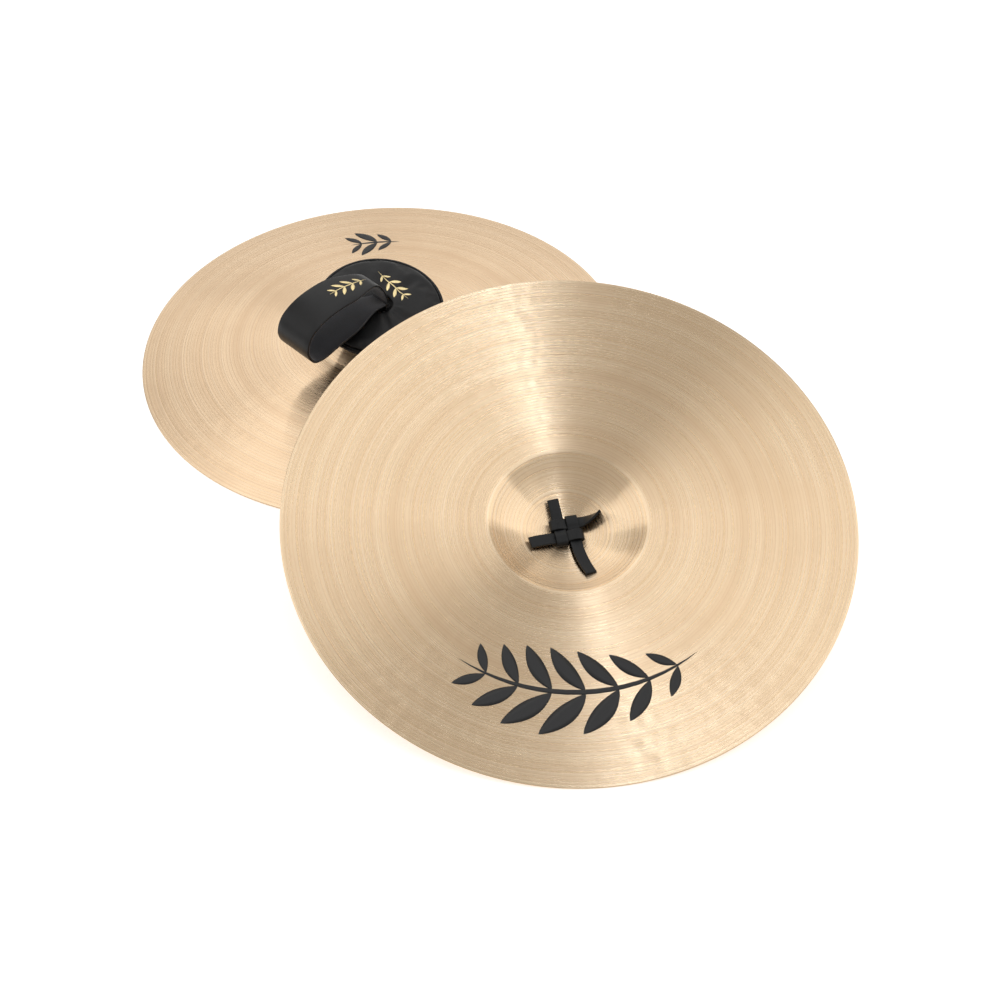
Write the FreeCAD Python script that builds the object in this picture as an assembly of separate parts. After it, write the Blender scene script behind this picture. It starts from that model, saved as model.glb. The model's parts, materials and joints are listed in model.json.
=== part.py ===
import FreeCAD, Part
import math
import os

# A pair of 18-inch hand cymbals, each with a leather pad, a looped hand strap and the four thongs
# that tie the strap through the hole of the plate. The rear cymbal lies bell up on its rim. The front
# cymbal lies bell down and leans on its rim, on its own pad and on its flattened hand strap.
# Millimetres. +Z is up, +Y runs from the front cymbal towards the rear one.
# The origin is on the floor, in the middle of the pair.

# ---- driving dimensions ------------------------------------------------------------------------

RIM_RADIUS = 228.6          # 18 inches across
PLATE = 1.15                # thickness of the bronze
RIM_FLAT = 1.2              # width of the level ring ground on the rim
BOW_RADIUS = 1360.0         # spherical bow of the plate, inner face
BELL_RADIUS = 97.0          # spherical bell, inner face
BELL_DEPTH = 42.0           # inner face of the bell's crown, from the rim plane
BELL_FILLET = 9.0           # hollow round the foot of the bell, outer face
HOLE_RADIUS = 7.0           # hole in the bell's crown

REAR_TO_FRONT = (164.2, -270.25)   # from the rear centre to the front centre, in plan
FRONT_TILT = 14.48          # front axis from the vertical
FRONT_AZIMUTH = 3.79        # the lean turned from the -Y direction towards +X

PAD_RADIUS = 60.0
PAD_HOLE = 11.0
PAD_BASE = 1.4              # leather disc against the bell
PAD_SKIN = 1.3              # leather of the padded cover
PAD_FLANGE = 4.0            # flat sewn edge of the cover
PAD_FLANGE_TOP = 3.0        # both leathers together at the sewn edge
PAD_SHOULDER = 16.0         # width of the rounded shoulder of the padding
THREAD = 0.35               # radius of the sewing thread
REAR_PAD_HEIGHT = 8.6
FRONT_PAD_HEIGHT = 7.3      # pressed thinner by the weight of the plate
REAR_PAD_SHIFT = (-2.5, -0.3)      # the rear pad's centre from the plate's axis
REAR_PAD_NORMAL = (0.10, -0.19, 1.0)
FRONT_PAD_LEAD = 6.0        # the front pad's centre from the hole's mouth, along the plate's axis
CLEAR = 0.3                 # between bodies that turn on each other

STRAP_LEATHER = 1.6
STRAP_LINING = 0.9
STRAP_HALF_WIDTH = 21.0
STRAP_ROOT_HALF_WIDTH = 10.0
STRAP_FLARE_LENGTH = 50.0   # from the root to the full width
OFFSET_STEPS = 28           # stretches of a curved strap face
REAR_ROOT_HEIGHT = 11.3     # hinge line of the rear loop over the pad's base
FRONT_ROOT_HEIGHT = 2.55    # hinge line of the front loop over the floor
ROOT_RADIUS = 2.4           # rounded end of the neck, which the loop turns on
NECK_RADIUS = 5.5           # gathered thongs in the pad's hole
NECK_SLAB = 3.0             # straight stretch of the neck under its rounded end
REAR_LOOP_AZIMUTH = -135.0  # direction of the loop in plan
FRONT_LOOP_AZIMUTH = 0.0

THONG_WIDTH = 9.6
THONG = 2.1                 # thickness of a thong
THONG_SHANK = 4.5           # folded thong through the hole, square
SHANK_GAP = 0.2             # from the hole's axis to each folded thong
KNOT_COLUMN = 5.6           # centre line of a woven thong from the knot's axis
KNOT_LAYER = 2.3            # from one layer of the weave to the next
KNOT_FOOT = 1.9             # underside of the lowest layer over the bell's crown
KNOT_FOLD = 10.0            # centre of the folds from the knot's axis
KNOT_TURN = 10.0            # turn of the whole knot
TAIL_BEND = 45.0            # radius of the lifting tails
TAILS = {"back": 18.0, "right": 18.0, "front": 30.0, "left": 19.0}

# Centre line of the rear loop, from over its root to beside it, as (outwards, up).
REAR_LOOP = [
    (-0.4, 4.4), (3.4, 17.0), (13.0, 29.2), (32.0, 34.6), (54.0, 36.6), (77.0, 33.2), (95.0, 23.6),
    (101.8, 9.5), (97.0, -3.6), (86.0, -6.4), (68.0, -2.0), (46.0, 2.4), (23.0, 4.6), (4.6, 1.0),
]
# The front loop is pressed flat as far as these, and its end opens into the bulb.
FRONT_LOW_LEG = 90.0
FRONT_HIGH_LEG = 62.0
FRONT_LOOP_BULB = [(109.0, 6.4), (114.0, 15.5), (105.0, 23.0), (91.0, 19.5)]

V = FreeCAD.Vector
UP = V(0, 0, 1)


# ---- small helpers -----------------------------------------------------------------------------

def line(a, b):
    return Part.LineSegment(a, b).toShape()


def arc(a, middle, b):
    return Part.Arc(a, middle, b).toShape()


def spline(points, start=None, end=None):
    curve = Part.BSplineCurve()
    if start is None:
        curve.interpolate(points)
    else:
        curve.interpolate(Points=points, InitialTangent=start, FinalTangent=end)
    return curve.toShape()


def polar(centre, radius, degrees):
    """A point of the XZ plane round a centre of that plane."""
    a = math.radians(degrees)
    return V(centre.x + radius * math.cos(a), 0, centre.z + radius * math.sin(a))


def revolved(edges):
    """A solid of revolution about Z from an outline in the XZ plane."""
    face = Part.Face(Part.Wire(edges))
    return face.revolve(V(0, 0, 0), UP, 360)


def placed(shape, placement):
    copy = shape.copy()
    copy.Placement = placement.multiply(copy.Placement)
    return copy


# ---- where everything stands -------------------------------------------------------------------

def rim_top():
    """Height of the plate's outer face over the rim plane, at the rim."""
    outer = BOW_RADIUS + PLATE
    return math.sqrt(outer ** 2 - RIM_RADIUS ** 2) + bow_centre()


def bow_centre():
    return -math.sqrt(BOW_RADIUS ** 2 - (RIM_RADIUS - RIM_FLAT) ** 2)


def bell_centre():
    return BELL_DEPTH - BELL_RADIUS


TILT = math.radians(FRONT_TILT)
LEAN = math.radians(FRONT_AZIMUTH)
# Unit vector out of the front cymbal's hollow side.
FRONT_UP = V(math.sin(TILT) * math.sin(LEAN), -math.sin(TILT) * math.cos(LEAN), math.cos(TILT))

front_reach_x = RIM_RADIUS * math.sqrt(1 - FRONT_UP.x ** 2)
front_reach_y = RIM_RADIUS * math.sqrt(1 - FRONT_UP.y ** 2)
rear_x = (RIM_RADIUS - REAR_TO_FRONT[0] - front_reach_x) / 2
rear_y = (-RIM_RADIUS - REAR_TO_FRONT[1] + front_reach_y) / 2
front_z = RIM_RADIUS * math.sin(TILT) + rim_top() * math.cos(TILT)

# Each cymbal's frame: origin in the rim plane, +Z towards its bell.
REAR = FreeCAD.Placement(V(rear_x, rear_y, 0), FreeCAD.Rotation())
FRONT = FreeCAD.Placement(
    V(rear_x + REAR_TO_FRONT[0], rear_y + REAR_TO_FRONT[1], front_z),
    FreeCAD.Rotation(FRONT_AZIMUTH, 0, 180 + FRONT_TILT))


def pad_frame(cymbal, normal, shift):
    """On the tangent plane of the bell that faces along normal, at shift from the hole in plan."""
    normal = V(*normal).normalize()
    centre = cymbal.multVec(V(0, 0, bell_centre()))
    crown = cymbal.multVec(V(0, 0, BELL_DEPTH + PLATE))
    reach = BELL_RADIUS + PLATE + CLEAR
    x, y = crown.x + shift[0], crown.y + shift[1]
    z = centre.z + (reach - normal.x * (x - centre.x) - normal.y * (y - centre.y)) / normal.z
    return FreeCAD.Placement(V(x, y, z), FreeCAD.Rotation(UP, normal))


# The front strap leaves its hole along the leaning axis, so the pad's centre is a little further on.
FRONT_PAD_SHIFT = (-FRONT_UP.x * FRONT_PAD_LEAD, -FRONT_UP.y * FRONT_PAD_LEAD)
REAR_PAD = pad_frame(REAR, REAR_PAD_NORMAL, REAR_PAD_SHIFT)
FRONT_PAD = pad_frame(FRONT, (0, 0, -1), FRONT_PAD_SHIFT)


# ---- the plate ---------------------------------------------------------------------------------

def plate():
    """Bowed plate with a domed bell and a centre hole."""
    bow, bell = V(0, 0, bow_centre()), V(0, 0, bell_centre())
    inner_fillet = BELL_FILLET + PLATE
    # The fillet's centre is where circles about the bow's and the bell's centres cross.
    to_bow, to_bell = BOW_RADIUS + inner_fillet, BELL_RADIUS + inner_fillet
    apart = bell.z - bow.z
    z = bow.z + (apart ** 2 + to_bow ** 2 - to_bell ** 2) / (2 * apart)
    corner = V(math.sqrt(to_bow ** 2 - (z - bow.z) ** 2), 0, z)

    def angle(centre, point):
        return math.degrees(math.atan2(point.z - centre.z, point.x - centre.x))

    def side(offset, rim_radius):
        """Rim end, bow arc, fillet arc, bell arc and hole end, offset outwards from the inner face."""
        r_bow, r_bell, r_fillet = BOW_RADIUS + offset, BELL_RADIUS + offset, inner_fillet - offset
        a_rim = math.degrees(math.acos(rim_radius / r_bow))
        a_foot, b_foot = angle(bow, corner), angle(bell, corner)
        b_hole = math.degrees(math.acos(HOLE_RADIUS / r_bell))
        f_bow, f_bell = angle(corner, bow), angle(corner, bell) - 360
        f_bell += 360 if f_bow - f_bell > 180 else 0
        return [
            arc(polar(bow, r_bow, a_rim), polar(bow, r_bow, (a_rim + a_foot) / 2),
                polar(bow, r_bow, a_foot)),
            arc(polar(corner, r_fillet, f_bow), polar(corner, r_fillet, (f_bow + f_bell) / 2),
                polar(corner, r_fillet, f_bell)),
            arc(polar(bell, r_bell, b_foot), polar(bell, r_bell, (b_foot + b_hole) / 2),
                polar(bell, r_bell, b_hole)),
        ]

    inner = side(0.0, RIM_RADIUS - RIM_FLAT)
    outer = side(PLATE, RIM_RADIUS)
    rim = V(RIM_RADIUS, 0, 0)
    closing = [
        line(V(RIM_RADIUS - RIM_FLAT, 0, 0), rim),
        line(rim, V(RIM_RADIUS, 0, rim_top())),
        line(inner[2].Vertexes[-1].Point, outer[2].Vertexes[-1].Point),
    ]
    return revolved(Part.__sortEdges__(inner + outer + closing))


# ---- the pad, in its own frame: base at z = 0, padded side up --------------------------------------

def pad_dome(edge, hole, top):
    """Domed ring that stands on the base leather, with rounded lips at its edge and at the hole."""
    foot = V(edge, 0, PAD_BASE)
    brow = PAD_BASE + (top - PAD_BASE) * 0.18
    crown = V(edge - PAD_SHOULDER, 0, top)
    # A tight arc up from the brow runs smoothly into a wide one that levels out at the crown.
    rise = top - brow
    tight = rise / 2
    wide = (PAD_SHOULDER ** 2 + rise ** 2 - 2 * PAD_SHOULDER * tight) / (2 * (rise - tight))
    low, high = V(edge - tight, 0, brow), V(edge - PAD_SHOULDER, 0, top - wide)
    meet = math.degrees(math.atan2(wide - rise, PAD_SHOULDER - tight))
    inner_crown, lip = V(hole + 2.2, 0, top), V(hole, 0, top - 2.2)
    return revolved([
        line(V(hole, 0, PAD_BASE), foot),
        line(foot, V(edge, 0, brow)),
        arc(V(edge, 0, brow), polar(low, tight, meet / 2), polar(low, tight, meet)),
        arc(polar(high, wide, meet), polar(high, wide, (meet + 90) / 2), crown),
        line(crown, inner_crown),
        arc(inner_crown, V(hole + 0.65, 0, top - 0.65), lip),
        line(lip, V(hole, 0, PAD_BASE)),
    ])


def pad_base():
    return revolved([
        line(V(PAD_HOLE, 0, 0), V(PAD_RADIUS, 0, 0)),
        line(V(PAD_RADIUS, 0, 0), V(PAD_RADIUS, 0, PAD_BASE)),
        line(V(PAD_RADIUS, 0, PAD_BASE), V(PAD_HOLE, 0, PAD_BASE)),
        line(V(PAD_HOLE, 0, PAD_BASE), V(PAD_HOLE, 0, 0)),
    ])


def pad_filling(height):
    return pad_dome(PAD_RADIUS - PAD_FLANGE - PAD_SKIN, PAD_HOLE + PAD_SKIN, height - PAD_SKIN)


def pad_cover(height):
    flange = Part.makeCylinder(PAD_RADIUS, PAD_FLANGE_TOP - PAD_BASE, V(0, 0, PAD_BASE))
    flange = flange.cut(Part.makeCylinder(PAD_HOLE + 1.0, PAD_FLANGE_TOP))
    dome = pad_dome(PAD_RADIUS - PAD_FLANGE, PAD_HOLE, height)
    return dome.fuse(flange).cut(pad_filling(height)).removeSplitter()


def pad_stitching():
    """Thread that lies along the middle of the sewn edge."""
    return Part.makeTorus(PAD_RADIUS - PAD_FLANGE / 2, THREAD, V(0, 0, PAD_FLANGE_TOP + THREAD))


# ---- the hand strap, in the loop's frame: X outwards, Y across, Z up, origin on the hinge line -------

def offset_edges(path, distance):
    """The edges of a path in the XZ plane, each moved sideways by distance."""
    moved = []
    for edge in path:
        steps = 1 if edge.Curve.TypeId == "Part::GeomLine" else OFFSET_STEPS
        first, last = edge.ParameterRange
        points = []
        for i in range(steps + 1):
            at = first + (last - first) * i / steps
            along = edge.tangentAt(at)
            points.append(edge.valueAt(at) + V(along.z, 0, -along.x) * distance)
        moved.append(line(*points) if steps == 1 else spline(points))
    return moved


def band(path, low, high):
    """A layer of the strap between two offsets of its path, cut to the strap's plan."""
    near, far = offset_edges(path, low), offset_edges(path, high)
    ends = [
        line(near[0].valueAt(near[0].FirstParameter), far[0].valueAt(far[0].FirstParameter)),
        line(near[-1].valueAt(near[-1].LastParameter), far[-1].valueAt(far[-1].LastParameter)),
    ]
    outline = Part.Wire(Part.__sortEdges__(near + far + ends))
    wide = Part.Face(outline).extrude(V(0, 2 * STRAP_HALF_WIDTH, 0))
    wide.translate(V(0, -STRAP_HALF_WIDTH, 0))
    return wide.common(strap_plan())


def strap_plan():
    """Prism of the strap's outline seen from above: narrow at the root, flared to the full width."""
    reach, root, full, deep = 160.0, STRAP_ROOT_HALF_WIDTH, STRAP_HALF_WIDTH, -60.0
    flare = STRAP_FLARE_LENGTH

    def flank(side):
        return spline([V(0, side * root, deep), V(flare * 0.3, side * (root + 3.6), deep),
                       V(flare * 0.65, side * (full - 1.6), deep), V(flare, side * full, deep)],
                      V(1, 0, 0), V(1, 0, 0))

    edges = [
        line(V(-20, -root, deep), V(0, -root, deep)), flank(-1),
        line(V(flare, -full, deep), V(reach, -full, deep)),
        line(V(reach, -full, deep), V(reach, full, deep)),
        line(V(reach, full, deep), V(flare, full, deep)), flank(1),
        line(V(0, root, deep), V(-20, root, deep)),
        line(V(-20, root, deep), V(-20, -root, deep)),
    ]
    return Part.Face(Part.Wire(Part.__sortEdges__(edges))).extrude(V(0, 0, 160))


def rear_loop_path():
    return [spline([V(x, 0, z) for x, z in REAR_LOOP])]


def front_loop_path():
    """Two legs pressed together, one on the floor, and the open bulb at their end."""
    thick = STRAP_LEATHER + STRAP_LINING
    start = ROOT_RADIUS + CLEAR
    low = thick / 2 - FRONT_ROOT_HEIGHT
    high = low + thick + 0.1
    bulb = [V(FRONT_HIGH_LEG, 0, high)]
    bulb += [V(x, 0, z - FRONT_ROOT_HEIGHT) for x, z in reversed(FRONT_LOOP_BULB)]
    bulb += [V(FRONT_LOW_LEG, 0, low)]
    return [
        line(V(start, 0, high), bulb[0]),
        spline(bulb, V(1, 0, 0), V(-1, 0, 0)),
        line(bulb[-1], V(start, 0, low)),
    ]


def strap_layers(path):
    """The smooth leather on the outside of the loop, and the suede on its inside."""
    half = (STRAP_LEATHER + STRAP_LINING) / 2
    longer = Part.Wire(offset_edges(path, 1.0)).Length > Part.Wire(offset_edges(path, -1.0)).Length
    out = 1 if longer else -1
    seam = out * (STRAP_LINING - half)
    return band(path, seam, out * half), band(path, -out * half, seam)


def neck(pad, loop):
    """The strap's two ends, gathered through the pad's hole and rounded at the hinge line."""
    thick, wide = ROOT_RADIUS, STRAP_ROOT_HALF_WIDTH
    height = pad.inverse().multVec(loop.Base).z
    across = loop.Rotation.multVec(V(0, 1, 0))

    def rectangle(placement, half_x, half_y, z):
        corners = [(-half_x, -half_y), (half_x, -half_y), (half_x, half_y), (-half_x, half_y)]
        points = [placement.multVec(V(x, y, z)) for x, y in corners]
        return Part.makePolygon(points + points[:1])

    turned = FreeCAD.Placement(pad)
    up = pad.Rotation.multVec(UP)
    level = (across - up * across.dot(up)).normalize()
    turned.Rotation = FreeCAD.Rotation(level.cross(up), level, up, "ZXY")
    # The loop's frame may stand the other way up from the pad's, so this points back into the neck.
    back = math.copysign(NECK_SLAB, pad.Base.z - loop.Base.z)
    bundle = placed(Part.makeCylinder(NECK_RADIUS, height - NECK_SLAB + 0.5, V(0, 0, -0.5)), turned)
    flare = Part.makeLoft([rectangle(turned, 3.6, 3.6, height * 0.4),
                           rectangle(loop, thick, wide, back)], True, True)
    slab = Part.makeLoft([rectangle(loop, thick, wide, back), rectangle(loop, thick, wide, 0)], True, True)
    bead = Part.makeCylinder(thick, 2 * wide, loop.Base - across * wide, across)
    return bundle.fuse([flare, slab, bead]).removeSplitter()


# ---- the knot, in its own frame: origin on the bell's crown, +Z into the hollow ----------------------

def thong(tail):
    """One thong: folded through the hole, out along the foot of the knot, back over one neighbour,
    under the next one and out as a tail that lifts off the bell."""
    half, side = THONG / 2, KNOT_COLUMN - THONG_WIDTH / 2
    foot = KNOT_FOOT + half
    middle, top = foot + KNOT_LAYER, foot + 2 * KNOT_LAYER
    edge = KNOT_COLUMN + THONG_WIDTH / 2
    turn = tail / TAIL_BEND

    def at(y, z):
        return V(0, y, z)

    def tail_point(angle, offset):
        return at(edge + TAIL_BEND * math.sin(angle) - offset * math.sin(angle),
                  middle + TAIL_BEND * (1 - math.cos(angle)) + offset * math.cos(angle))

    def fold(radius):
        return arc(at(-KNOT_FOLD, middle - radius), at(-KNOT_FOLD - radius, middle),
                   at(-KNOT_FOLD, middle + radius))

    def lane(offset):
        """One face of the woven stretch, from the top layer down to the middle one and out."""
        points = [at(-KNOT_FOLD, top + offset), at(-side, top + offset), at(side, middle + offset),
                  at(edge, middle + offset)]
        return [line(a, b) for a, b in zip(points, points[1:])] + [
            arc(points[-1], tail_point(turn / 2, offset), tail_point(turn, offset))]

    edges = [
        line(at(-side, foot - half), at(-KNOT_FOLD, foot - half)),
        fold(KNOT_LAYER + half),
        *lane(half),
        line(tail_point(turn, half), tail_point(turn, -half)),
        *lane(-half),
        fold(KNOT_LAYER - half),
        line(at(-KNOT_FOLD, foot + half), at(-side, foot + half)),
        line(at(-side, foot + half), at(-side, foot - half)),
    ]
    strip = Part.Face(Part.Wire(Part.__sortEdges__(edges))).extrude(V(THONG_WIDTH, 0, 0))
    strip.translate(V(-edge, 0, 0))
    below = PLATE + 0.3
    corner = -SHANK_GAP - THONG_SHANK
    shank = Part.makeBox(THONG_SHANK, THONG_SHANK, below + foot + half, V(corner, corner, -below))
    return strip.fuse(shank).removeSplitter()


def knot_thongs():
    """The four thongs by the side that their tails leave the knot on, clockwise from the back."""
    thongs = {}
    for i, (name, tail) in enumerate(TAILS.items()):
        one = thong(tail)
        one.rotate(V(0, 0, 0), UP, KNOT_TURN - 90 * i)
        thongs[name] = one
    return thongs


# ---- assembly -----------------------------------------------------------------------------------

def cymbal_parts(name, cymbal, pad, pad_height, loop_path, root_height, loop_azimuth):
    """All the pieces of one cymbal, in place, by node name."""
    loop_rotation = FreeCAD.Rotation(UP, loop_azimuth)
    root = pad.multVec(V(0, 0, root_height))
    loop = FreeCAD.Placement(root, loop_rotation)
    knot = cymbal.multiply(FreeCAD.Placement(V(0, 0, BELL_DEPTH), FreeCAD.Rotation(V(1, 0, 0), 180)))
    leather, lining = strap_layers(loop_path())
    parts = {
        "plate": placed(plate(), cymbal),
        "pad_base": placed(pad_base(), pad),
        "pad_filling": placed(pad_filling(pad_height), pad),
        "pad_cover": placed(pad_cover(pad_height), pad),
        "pad_stitching": placed(pad_stitching(), pad),
        "strap_leather": placed(leather, loop),
        "strap_lining": placed(lining, loop),
        "strap_neck": neck(pad, loop),
    }
    for side, shape in knot_thongs().items():
        parts["thong_" + side] = placed(shape, knot)
    return {name + "_" + key: shape for key, shape in parts.items()}


pieces = cymbal_parts("rear", REAR, REAR_PAD, REAR_PAD_HEIGHT, rear_loop_path,
                      REAR_ROOT_HEIGHT, REAR_LOOP_AZIMUTH)
pieces.update(cymbal_parts("front", FRONT, FRONT_PAD, FRONT_PAD_HEIGHT, front_loop_path,
                           FRONT_PAD.Base.z - FRONT_ROOT_HEIGHT, FRONT_LOOP_AZIMUTH))

os.makedirs("parts", exist_ok=True)
for node, shape in pieces.items():
    shape.exportStep("parts/" + node + ".step")
    box = shape.BoundBox
    print(f"{node:22s} valid {shape.isValid()} solids {len(shape.Solids)} volume {shape.Volume:9.1f} "
          f"x {box.XMin:7.1f} {box.XMax:7.1f} y {box.YMin:7.1f} {box.YMax:7.1f} "
          f"z {box.ZMin:6.2f} {box.ZMax:6.2f}")
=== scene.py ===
import json
import math
import random

import bmesh
import bpy
import numpy as np
from mathutils import Matrix, Vector


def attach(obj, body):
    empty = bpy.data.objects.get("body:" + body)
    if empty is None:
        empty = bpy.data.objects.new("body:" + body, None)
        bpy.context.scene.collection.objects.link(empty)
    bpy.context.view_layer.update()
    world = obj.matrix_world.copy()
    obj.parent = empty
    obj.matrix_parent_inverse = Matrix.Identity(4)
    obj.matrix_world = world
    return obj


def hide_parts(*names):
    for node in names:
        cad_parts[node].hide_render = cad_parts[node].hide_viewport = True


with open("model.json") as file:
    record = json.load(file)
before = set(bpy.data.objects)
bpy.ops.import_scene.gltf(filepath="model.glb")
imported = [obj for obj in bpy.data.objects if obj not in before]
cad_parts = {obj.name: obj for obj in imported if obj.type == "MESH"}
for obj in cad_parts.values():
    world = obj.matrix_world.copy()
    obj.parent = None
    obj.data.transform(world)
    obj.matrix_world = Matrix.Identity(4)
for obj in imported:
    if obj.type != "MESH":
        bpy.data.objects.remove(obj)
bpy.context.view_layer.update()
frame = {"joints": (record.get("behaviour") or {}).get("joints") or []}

# Hand cymbals: two lathed bronze plates with leather pads, hand straps and crown knots. Metres.

MM = 0.001
RIM_RADIUS = 0.2286
RIM_FLAT = 0.0012
PLATE = 0.00115
BOW_RADIUS = 1.360
BELL_RADIUS = 0.097
BELL_DEPTH = 0.042
BELL_FILLET = 0.009
HOLE_RADIUS = 0.007
PAD_RADIUS = 0.060
PAD_HOLE = 0.011
PAD_BASE = 0.0014
BASE_HOLE = 0.0068        # hole in the hidden disc under the pad
PAD_FLANGE = 0.004
PAD_FLANGE_TOP = 0.003
PAD_SHOULDER = 0.016
STRAP_HALF = 0.021
STRAP_ROOT_HALF = 0.010
STRAP_FLARE = 0.050
STRAP_LEATHER = 0.0016
STRAP_LINING = 0.0009
ROOT_RADIUS = 0.0024
GROOVE_PITCH = 0.0052     # from one cut tool mark of the lathe to the next
GROOVE_DEPTH = 0.022      # millimetres
LINE_PITCH = 0.0027       # from one dark line of the bronze to the next
REAR_SAG = 0.0012         # how far the rear strap's edges hang under its middle

joints = {j["name"]: j for j in frame["joints"]}
materials = {}


# ---- frames of the parts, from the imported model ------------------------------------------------

def axes_matrix(origin, x, y, z):
    m = Matrix((x, y, z)).transposed().to_4x4()
    m.translation = origin
    return m


def cymbal_frame(name):
    """Origin in the rim plane, +Z towards the bell."""
    joint = joints[name + "_knot_turn"]
    into_hollow = Vector(joint["axis"]).normalized()
    if name == "rear":
        into_hollow = -into_hollow
    z = -into_hollow
    x = (Vector((1, 0, 0)) - z * z.x).normalized()
    origin = Vector(joint["pos_m"]) - z * BELL_DEPTH
    return axes_matrix(origin, x, z.cross(x), z)


def pad_frame(name):
    """Origin on the pad's base, +Z out of the padded side."""
    joint = joints[name + "_neck_turn"]
    z = Vector(joint["axis"]).normalized()
    if name == "front":
        z = -z
    x = (Vector((1, 0, 0)) - z * z.x).normalized()
    return axes_matrix(Vector(joint["pos_m"]), x, z.cross(x), z)


def loop_frame(name):
    """Origin on the hinge line of the hand loop, +X outwards, +Y across, +Z up."""
    joint = joints[name + "_loop_swing"]
    axis = Vector(joint["axis"]).normalized()
    y = -axis if name == "rear" else axis
    return axes_matrix(Vector(joint["pos_m"]), y.cross(Vector((0, 0, 1))), y, Vector((0, 0, 1)))


# ---- mesh helpers --------------------------------------------------------------------------------

def new_piece(name, vertices, faces, material, body, *nodes, slot=None, matrix=None):
    mesh = bpy.data.meshes.new(name)
    mesh.from_pydata([tuple(v) for v in vertices], [], faces)
    mesh.validate()
    shell = bmesh.new()
    shell.from_mesh(mesh)
    bmesh.ops.recalc_face_normals(shell, faces=shell.faces)
    shell.to_mesh(mesh)
    shell.free()
    mesh.polygons.foreach_set("use_smooth", [True] * len(mesh.polygons))
    mesh.materials.append(material)
    piece = bpy.data.objects.new(name, mesh)
    bpy.context.scene.collection.objects.link(piece)
    if matrix is not None:
        piece.matrix_world = matrix
    finish_piece(piece, body, nodes)
    return piece


def finish_piece(piece, body, nodes=()):
    if body is not None:
        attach(piece, body)
    if nodes:
        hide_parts(*nodes)


def grid_faces(rows, columns, closed_rows=False, closed_columns=False):
    faces = []
    for i in range(rows if closed_rows else rows - 1):
        a, b = i * columns, (i + 1) % rows * columns
        for j in range(columns if closed_columns else columns - 1):
            k = (j + 1) % columns
            faces.append((a + j, b + j, b + k, a + k))
    return faces


def lathe(profile, segments):
    """Vertices and faces of a closed (r, z) outline turned about Z."""
    turns = [2 * math.pi * i / segments for i in range(segments)]
    vertices = [(r * math.cos(a), r * math.sin(a), z) for a in turns for r, z in profile]
    return vertices, grid_faces(segments, len(profile), True, True)


def smooth_path(points, per_span=8):
    """Catmull-Rom points through the given ones."""
    p = [np.array(q, float) for q in points]
    p = [2 * p[0] - p[1]] + p + [2 * p[-1] - p[-2]]
    out = []
    for a, b, c, d in zip(p, p[1:], p[2:], p[3:]):
        for i in range(per_span):
            t = i / per_span
            out.append(0.5 * (2 * b + (c - a) * t + (2 * a - 5 * b + 4 * c - d) * t * t
                              + (3 * b - a - 3 * c + d) * t ** 3))
    return np.array(out + [p[-2]])


def unit(v):
    return v / np.maximum(np.linalg.norm(v, axis=-1, keepdims=True), 1e-12)


def rounded_section(half_width, low, high, rounding, corner_steps=3, across_steps=6):
    """Outline of a strip's section as (across, up), counter-clockwise, with rounded edges."""
    r = min(rounding, (high - low) / 2, half_width)
    points = []
    for cx, cy, start in ((half_width - r, low + r, -90), (half_width - r, high - r, 0),
                          (-half_width + r, high - r, 90), (-half_width + r, low + r, 180)):
        for i in range(corner_steps + 1):
            a = math.radians(start + 90 * i / corner_steps)
            points.append((cx + r * math.cos(a), cy + r * math.sin(a)))
        if start in (0, 180):
            end = -1 if start == 0 else 1
            for i in range(1, across_steps):
                points.append(((half_width - r) * (-end) * (1 - 2 * i / across_steps),
                               high if start == 0 else low))
    return points


def strip(path, ups, half_widths, low, high, rounding):
    """A solid strip along path: ups point out of its upper face, widths vary along it."""
    path = np.asarray(path, float)
    along = unit(np.gradient(path, axis=0))
    ups = unit(np.asarray(ups, float))
    ups = unit(ups - along * (ups * along).sum(1, keepdims=True))
    sides = np.cross(along, ups)
    vertices, count = [], 0
    for p, u, s, w in zip(path, ups, sides, half_widths):
        section = rounded_section(w, low, high, rounding)
        count = len(section)
        vertices += [p + s * x + u * y for x, y in section]
    faces = grid_faces(len(path), count, False, True)
    for end, step in ((0, 1), (len(path) - 1, -1)):
        middle = len(vertices)
        ring = vertices[end * count:(end + 1) * count]
        vertices.append(sum(ring) / count)
        for j in range(count):
            a, b = end * count + j, end * count + (j + 1) % count
            faces.append((middle, a, b) if step == 1 else (middle, b, a))
    return vertices, faces


# ---- materials -------------------------------------------------------------------------------------

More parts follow.
